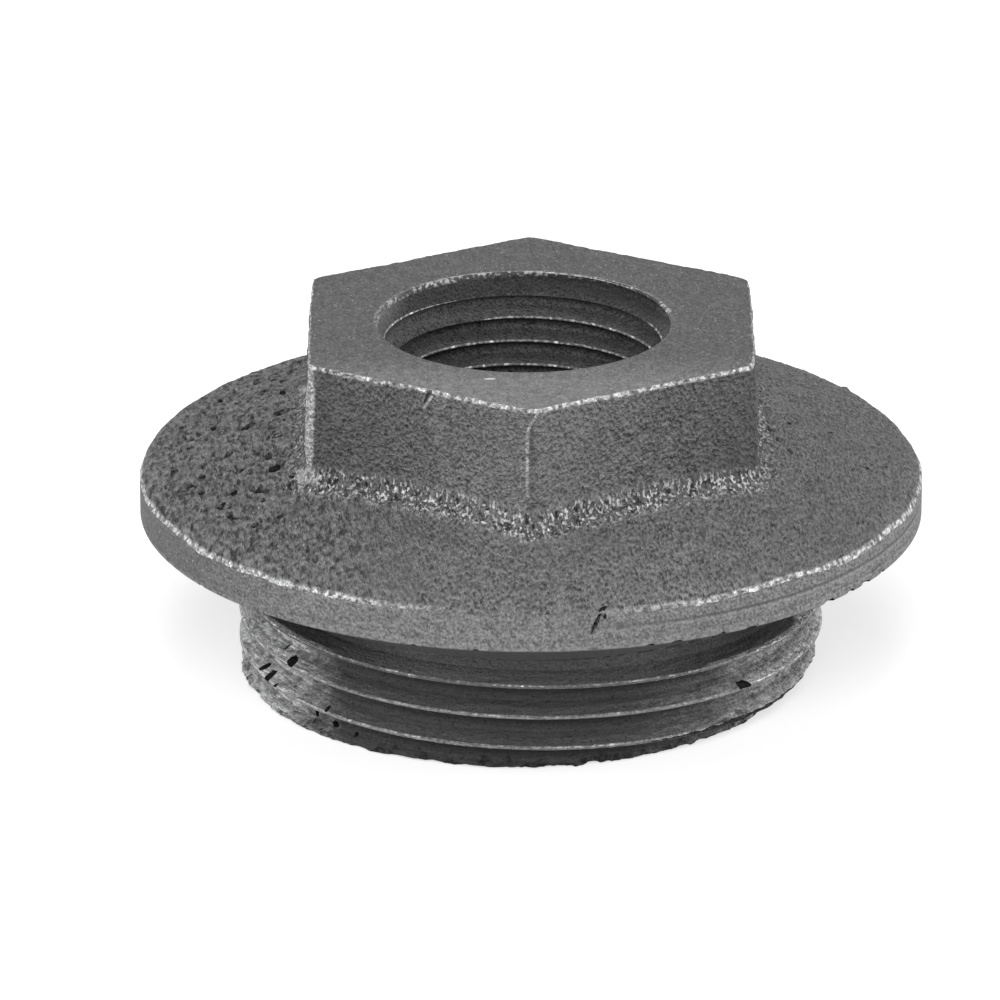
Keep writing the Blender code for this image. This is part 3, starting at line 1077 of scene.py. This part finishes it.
# Painted shade in the grooves, less where the sides are painted light.
groove_shade = times(
    tree,
    ramp(tree, measure["Radius"], *GROOVE_BAND),
    reckon(tree, "SUBTRACT", 1.0, groove_light),
)
# Painted shadow: a dark wedge under the flange, open at the far sides low down.
wedge_low = ramp(tree, across, *WEDGE_ENDS, *WEDGE_LOW)
shadow_gap = times(
    tree,
    ramp(tree, aside, *SHADOW_GAP_SIDES),
    ramp(tree, height, *SHADOW_GAP_LOW),
)
wedge_shadow = times(
    tree,
    ramp(tree, reckon(tree, "SUBTRACT", height, wedge_low), 0, WEDGE_FADE),
    ramp(tree, measure["Radius"], *WEDGE_BELOW_CREST),
    ramp(tree, shadow_gap, 0, 1, 0.97, 0),
)
# Painted shade and shadow: the grooves, the front and the neck under the flange are painted
# dark.
shaded = most(tree, groove_shade, ramp(tree, side_light, 0, 1, 0.94, 0), wedge_shadow)
# Under the flange the painted shadow is darkest at the left and right.
under_shade_colour = blend(tree, ramp(tree, aside, *SHADE_SIDES), iron(0.19), iron(0.028))
under_flange = ramp(tree, height, *UNDER_FLANGE_BAND)
colour = blend(tree, shaded, colour, blend(tree, under_flange, iron(0.068), under_shade_colour))
shaded_grain = times(tree, shaded, ramp(tree, grain["Shade"], 0, 1, 0.5, 0))
colour = tint(tree, colour, shaded_grain, level=0.02)
colour = tint(tree, colour, grain["Pore"], level=0.02, share=0.6)

raw = times(tree, cloud(tree, place, RAW_WANDER), RAW_WANDER_REACH)
raw = reckon(tree, "ADD", height, raw)
raw = reckon(tree, "SUBTRACT", raw, ramp(tree, across, *RAW_ENDS, *RAW_LOWER))
raw = ramp(tree, raw, *RAW_BAND)
raw_grain = ramp(tree, cloud(tree, place, RAW_GRAIN, 1.0), 0.4, 0.62, 1, 0.3)
colour = tint(tree, colour, times(tree, raw, raw_grain), level=0.018)
# The crests are worn, and painted bright as a highlight with glints.
crest = times(
    tree,
    ramp(tree, measure["Radius"], *CREST_BAND),
    ramp(tree, cloud(tree, place, CREST_BREAKS), 0.42, 0.66, 0.25, 1),
    ramp(tree, raw, 0, 1, 1, 0.3),
)
glint = ramp(tree, cloud(tree, place, CREST_GLINTS, 1.0), 0.6, 0.66)
colour = blend(tree, crest, colour, blend(tree, glint, iron(0.5), iron(0.95)))
# The worn crests with their painted highlight, and the painted-lit sides, are made shinier.
worn_and_lit = most(tree, crest, ramp(tree, shaded, 0, 1, 1, 0))
relief = reckon(tree, "ADD", streaks, grain["Relief"])
relief = reckon(tree, "MULTIPLY_ADD", tool_lines, 0.8, relief)
looks = {
    "Base Color": colour,
    "Metallic": ramp(tree, worn_and_lit, 0, 1, 0.1, 0.6),
    "Roughness": ramp(tree, worn_and_lit, 0, 1, 0.8, 0.5),
    "Specular IOR Level": 0.25,
    "Normal": bumped(tree, relief, strength=0.8, distance=0.00012),
}
feed(tree, shader, looks)

# Bore: the tapped thread, coloured dark, its crests painted with glinting highlights here and
# there, with one more painted crest highlight where the thread runs out through the mouth's
# wall. It is painted darker near the mouth as painted shade, lighter at the mouth's far sides
# as painted light, and has a painted highlight along the lip. The knocks in the outer thread
# and the rim have this finish too, and are painted black inside as painted shade.

BORE_GRAIN = 0.00017
BORE_STRETCH = (1, 1, 0.8)
OUTSIDE_BORE = (0.0165, 0.0172)
MOUTH_WALL_BAND = (HEIGHT - 0.0026, HEIGHT - 0.0022)
MOUTH_BAND = (HEIGHT - 0.002, HEIGHT - 0.0012)
MOUTH_SIDES = (0.0088, 0.0101)
MOUTH_SIDES_HIGH = (0.0235, 0.0255)
BORE_LIP_BAND = (HEIGHT - 0.0004, HEIGHT - 0.0002)
BORE_CREST_BAND = (core + 0.0001, core + 0.00003)
BORE_GLINTS = 0.0006
RUN_OUT_SHIFT = 0.27
RUN_OUT_WIDTH = (0.05, 0.02)

bored_thread, tree, shader, measure = finish("bored_thread")
place = measure["Place"]
height = measure["Height"]
squeezed = stretched(tree, place, BORE_STRETCH)
grain = grain_of(tree, squeezed, BORE_GRAIN, flecks=0.4, pores=0.35)
colour = blend(tree, grain["Shade"], iron(0.016), iron(0.115))
colour = tint(tree, colour, grain["Fleck"], level=0.2, share=0.3)
# Painted shade: the knocks are painted black inside.
in_knock = ramp(tree, measure["Radius"], *OUTSIDE_BORE)
colour = tint(tree, colour, in_knock, level=0.006, share=0.9)
# Painted shade: darker near the top of the bore, at its mouth.
colour = tint(tree, colour, ramp(tree, height, *MOUTH_BAND), level=0.008, share=0.62)
# Painted light: lighter at the mouth's far left and right.
mouth_side_light = times(
    tree,
    ramp(tree, measure["Aside"], *MOUTH_SIDES),
    ramp(tree, height, *MOUTH_SIDES_HIGH),
    ramp(tree, grain["Shade"], 0, 1, 0.3, 1),
)
colour = tint(tree, colour, mouth_side_light, level=0.16)
# Painted highlight spots along the bore's lip.
lip = times(
    tree,
    ramp(tree, height, *BORE_LIP_BAND),
    ramp(tree, spots_along_lip(tree, measure), 0.8, 0.92, 0.08, 1),
)
colour = tint(tree, colour, lip, level=0.45)
# Painted highlights on the crests and along the run-out crest line.
crest = times(
    tree,
    ramp(tree, measure["Radius"], *BORE_CREST_BAND),
    ramp(tree, cloud(tree, place, CREST_BREAKS), 0.44, 0.66, 0.15, 1),
)
turn = reckon(tree, "ARCTAN2", measure["Depth"], measure["Across"])
turn = reckon(tree, "MULTIPLY_ADD", turn, 1 / math.tau, -0.25)
climb = reckon(tree, "SUBTRACT", height, FIRST_CREST)
climb = reckon(tree, "MULTIPLY_ADD", climb, 1 / INNER_PITCH, RUN_OUT_SHIFT)
climb = reckon(tree, "PINGPONG", reckon(tree, "SUBTRACT", climb, turn), 0.5)
run_out = times(
    tree,
    ramp(tree, climb, *RUN_OUT_WIDTH),
    ramp(tree, height, *MOUTH_WALL_BAND),
    ramp(tree, cloud(tree, place, CREST_BREAKS), 0.4, 0.62, 0.2, 1),
)
glint = ramp(tree, cloud(tree, place, BORE_GLINTS, 1.0), 0.6, 0.66)
crest_highlight_colour = blend(tree, glint, iron(0.5), iron(1.0))
colour = blend(tree, most(tree, crest, run_out), colour, crest_highlight_colour)
looks = {
    "Base Color": colour,
    "Metallic": 0.1,
    "Roughness": ramp(tree, grain["Shade"], 0, 1, 0.8, 0.6),
    "Specular IOR Level": 0.25,
    "Normal": bumped(tree, grain["Relief"], strength=0.8, distance=0.0001),
}
feed(tree, shader, looks)

FINISHES = (sand_skin, ground_top, turned_rim, cut_thread, bored_thread)


def dress(piece, finish_made):
    """Give a piece all the finishes, with one of them on every face."""
    piece.data.materials.clear()
    for made in FINISHES:
        piece.data.materials.append(made)
    number = FINISHES.index(finish_made)
    piece.data.polygons.foreach_set("material_index", [number] * len(piece.data.polygons))


# Cutting
# The thread groove, the bore, its own thread and the countersink are cut in the clean
# shape, each with its finish, and that shape then trims the casting, skin and all.

OUTER_FIRST_CREST = 0.0065
OUTER_GROOVE_STEPS = 250
INNER_GROOVE_STEPS = 140
BORE_SIDES = 200
MOUTH_SIDE_COUNT = 160
OVERSHOOT = 0.001
GROOVE_RUN_OUT = 0.0012
INNER_GROOVE_BELOW = 0.0015
INNER_GROOVE_ABOVE = 0.0005
MOUTH_INTO_CORE = 0.0006
FACING_UP = 0.9

dress(casting, sand_skin)
dress(lathe_work, turned_rim)
for face in lathe_work.data.polygons:
    if face.normal.z > FACING_UP:
        face.material_index = FINISHES.index(ground_top)

groove = thread_groove(
    "outer_groove",
    root=thread_root,
    crest=shank,
    pitch=OUTER_PITCH,
    crest_height=OUTER_FIRST_CREST,
    low=-OVERSHOOT,
    high=thread_top + GROOVE_RUN_OUT,
    steps=OUTER_GROOVE_STEPS,
    hand=-1,
)
dress(groove, cut_thread)
combine(lathe_work, groove, "DIFFERENCE")

recess_ceiling = RECESS_RADIUS - RECESS_DEPTH * math.tan(RECESS_LEAN)
recess_round = rounding(
    recess_ceiling - RECESS_ROUND, RECESS_DEPTH - RECESS_ROUND, RECESS_ROUND, 90, 0, 5
)
bore = turned_shape(
    "bore",
    [(core, HEIGHT + OVERSHOOT), (core, RECESS_DEPTH)]
    + recess_round
    + [(RECESS_RADIUS, 0.0), (RECESS_RADIUS, -OVERSHOOT)],
    BORE_SIDES,
)
dress(bore, bored_thread)
combine(lathe_work, bore, "DIFFERENCE")
groove = thread_groove(
    "inner_groove",
    root=INNER_MAJOR / 2,
    crest=core,
    pitch=INNER_PITCH,
    crest_height=FIRST_CREST,
    low=RECESS_DEPTH - INNER_GROOVE_BELOW,
    high=HEIGHT + INNER_GROOVE_ABOVE,
    steps=INNER_GROOVE_STEPS,
    hand=1,
)
dress(groove, bored_thread)
combine(lathe_work, groove, "DIFFERENCE")
mouth_drop = (MOUTH_RADIUS - core + MOUTH_INTO_CORE) / MOUTH_LEAN
countersink = turned_shape(
    "countersink",
    [
        (MOUTH_RADIUS + OVERSHOOT * MOUTH_LEAN, HEIGHT + OVERSHOOT),
        (core - MOUTH_INTO_CORE, HEIGHT - mouth_drop),
    ],
    MOUTH_SIDE_COUNT,
)
bpy.ops.transform.translate(value=(MOUTH_OFFSET, 0, 0))
bpy.ops.object.transform_apply(location=True, rotation=True, scale=True)
dress(countersink, bored_thread)
combine(lathe_work, countersink, "DIFFERENCE")
combine(casting, lathe_work, "INTERSECT", "MANIFOLD")

# Knocks and blow holes that the thread tool laid open, mostly low on the left, and
# small chips along the sharp edge of the sealing face.

DOUBLED = 0.0000001
SMOOTH_UNDER = math.radians(35)

# angle in degrees, height in mm, length, width and depth in mm, turn in degrees
THREAD_KNOCKS = (
    (316, 3.9, 1.3, 0.9, 1.1, 80),
    (314, 3.5, 0.7, 0.5, 1.0, 40),
    (215, 4.8, 1.1, 0.5, 1.5, 70),
    (210, 5.2, 0.5, 0.45, 1.4, 0),
    (204, 3.6, 0.55, 0.5, 1.4, 30),
    (206, 2.5, 1.0, 0.6, 1.8, 60),
    (210, 2.1, 0.8, 0.5, 1.5, 20),
    (202, 2.7, 0.7, 0.5, 1.5, 100),
    (203.5, 1.7, 0.8, 0.5, 1.5, 130),
    (207, 1.3, 1.0, 0.6, 1.6, 120),
    (212, 1.1, 0.9, 0.6, 1.6, 50),
    (216, 1.6, 0.6, 0.4, 2.6, 50),
    (219, 1.0, 0.7, 0.5, 2.6, 10),
    (225, 0.8, 0.9, 0.6, 2.4, 80),
    (231, 0.6, 0.5, 0.4, 2.2, 80),
    (237, 0.5, 0.9, 0.5, 0.9, 60),
    (222, 3.1, 0.45, 0.35, 1.3, 0),
    (228, 5.3, 0.45, 0.35, 1.3, 0),
    (226, 2.4, 0.4, 0.3, 1.3, 40),
    (218, 6.4, 0.5, 0.35, 1.3, 40),
    (333, 2.2, 0.6, 0.4, 1.2, 40),
    (328, 1.0, 0.5, 0.35, 1.0, 40),
)
# angle in degrees, length, width and depth in mm
SEAL_EDGE_CHIPS = (
    (287, 0.6, 0.3, 0.3),
    (291, 0.9, 0.3, 0.3),
    (298, 0.7, 0.35, 0.35),
    (303, 1.0, 0.3, 0.35),
    (318, 1.2, 0.5, 0.5),
    (323, 0.9, 0.5, 0.5),
    (327, 1.3, 0.6, 0.5),
    (332, 0.8, 0.4, 0.5),
    (262, 0.5, 0.25, 0.25),
    (253, 0.4, 0.25, 0.25),
    (214, 0.8, 0.3, 0.3),
)
knocks = []
for angle, height, length, width, depth, turn in THREAD_KNOCKS:
    radius, height = shank * 1000, height / 1000
    knocks.append(pit(radius, angle, height, length, width, depth, turn, INTO_SIDE))
radius, height = FLANGE_RADIUS * 1000, SEAL_HEIGHT + SEAL_EDGE / 3
for angle, length, width, depth in SEAL_EDGE_CHIPS:
    knocks.append(pit(radius, angle, height, width, length, depth, 0, INTO_SIDE))
knocks = join_tools("knocks", knocks)
dress(knocks, bored_thread)
combine(casting, knocks, "DIFFERENCE", "MANIFOLD")

# The cuts leave doubled spots, and spots half way along an edge. Both are taken out,
# so that the skin is closed with every edge between two faces.
bpy.ops.object.mode_set(mode="EDIT")
bpy.ops.mesh.select_mode(type="VERT")
bpy.ops.mesh.select_all(action="SELECT")
bpy.ops.mesh.remove_doubles(threshold=DOUBLED)
bpy.ops.mesh.select_all(action="DESELECT")
bpy.ops.object.mode_set(mode="OBJECT")
edge_ends = np.empty(len(casting.data.edges) * 2, dtype=np.int32)
casting.data.edges.foreach_get("vertices", edge_ends)
half_way = np.bincount(edge_ends, minlength=len(casting.data.vertices)) == 2
casting.data.vertices.foreach_set("select", half_way)
bpy.ops.object.mode_set(mode="EDIT")
bpy.ops.mesh.dissolve_verts()
bpy.ops.object.mode_set(mode="OBJECT")
bpy.ops.object.shade_smooth_by_angle(angle=SMOOTH_UNDER)
flat_faces = casting.modifiers.new("flat_faces", "WEIGHTED_NORMAL")
flat_faces.keep_sharp = True
apply_all(casting)
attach(casting, "root")
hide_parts("plug_body")


# Stage
# A plain pale floor under the plug. Where the camera sees it unshaded it is white,
# and it keeps the plug's soft shadow.

FLOOR_SIZE = 4
FLOOR_HEIGHT = -0.00005

bpy.ops.object.select_all(action="DESELECT")
bpy.ops.mesh.primitive_plane_add(size=FLOOR_SIZE, location=(0, 0, FLOOR_HEIGHT))
floor = bpy.context.object
floor.name = "floor"
floor_paper = bpy.data.materials.new("floor_paper")
floor_paper.use_nodes = True
tree = floor_paper.node_tree
seen = step(tree, "ShaderNodeLightPath", {}).outputs["Is Camera Ray"]
looks = {
    "Base Color": (0.6, 0.6, 0.6, 1),
    "Roughness": 0.9,
    "Specular IOR Level": 0.1,
    "Emission Color": (1, 1, 1, 1),
    "Emission Strength": times(tree, seen, 0.62),
}
feed(tree, tree.nodes["Principled BSDF"], looks)
floor.data.materials.append(floor_paper)

world = bpy.data.worlds.new("studio")
bpy.context.scene.world = world
world.use_nodes = True
tree = world.node_tree
ray = step(tree, "ShaderNodeLightPath", {}).outputs
seen = most(tree, ray["Is Camera Ray"], ray["Is Glossy Ray"], ray["Is Transmission Ray"])
looks = {"Color": (1, 1, 1, 1), "Strength": ramp(tree, seen, 0, 1, 0.35, 1.0)}
feed(tree, tree.nodes["Background"], looks)

# Four soft round lamps: a wide one above, a small one in front, and one at each side, which
# draw the bright lines along the rim and the spigot's bright sides.

LAMP_AIM = Vector((0, 0, 0.013))


def soft_lamp(name, place, size, power):
    lamp = bpy.data.lights.new(name, "AREA")
    lamp.shape = "DISK"
    lamp.size = size
    lamp.energy = power
    held = bpy.data.objects.new(name, lamp)
    bpy.context.scene.collection.objects.link(held)
    held.location = place
    held.rotation_euler = (LAMP_AIM - held.location).to_track_quat("-Z", "Y").to_euler()


soft_lamp("top_lamp", (0.0, -0.1, 0.6), size=0.35, power=1.0)
soft_lamp("front_lamp", (-0.02, -0.30, 0.20), size=0.14, power=0.75)
soft_lamp("left_lamp", (-0.5, 0.05, 0.11), size=0.2, power=1.1)
soft_lamp("right_lamp", (0.5, 0.05, 0.11), size=0.2, power=1.15)

# The camera stands in front, a little above the plug.

CAMERA_DISTANCE = 0.63
CAMERA_RISE = math.radians(21.1)
FRAME_PIXELS = 1000
PIXELS_PER_METRE = 13967
SENSOR_WIDTH = 36
AIM = Vector((-0.00221, 0, 0.012424))

camera_data = bpy.data.cameras.new("camera")
camera_data.sensor_width = SENSOR_WIDTH
camera_data.lens = PIXELS_PER_METRE * CAMERA_DISTANCE / FRAME_PIXELS * SENSOR_WIDTH
camera = bpy.data.objects.new("camera", camera_data)
bpy.context.scene.collection.objects.link(camera)
back = Vector((0, -math.cos(CAMERA_RISE), math.sin(CAMERA_RISE)))
camera.location = AIM + CAMERA_DISTANCE * back
camera.rotation_euler = (math.pi / 2 - CAMERA_RISE, 0, 0)
bpy.context.scene.camera = camera
bpy.context.scene.view_settings.view_transform = "Standard"
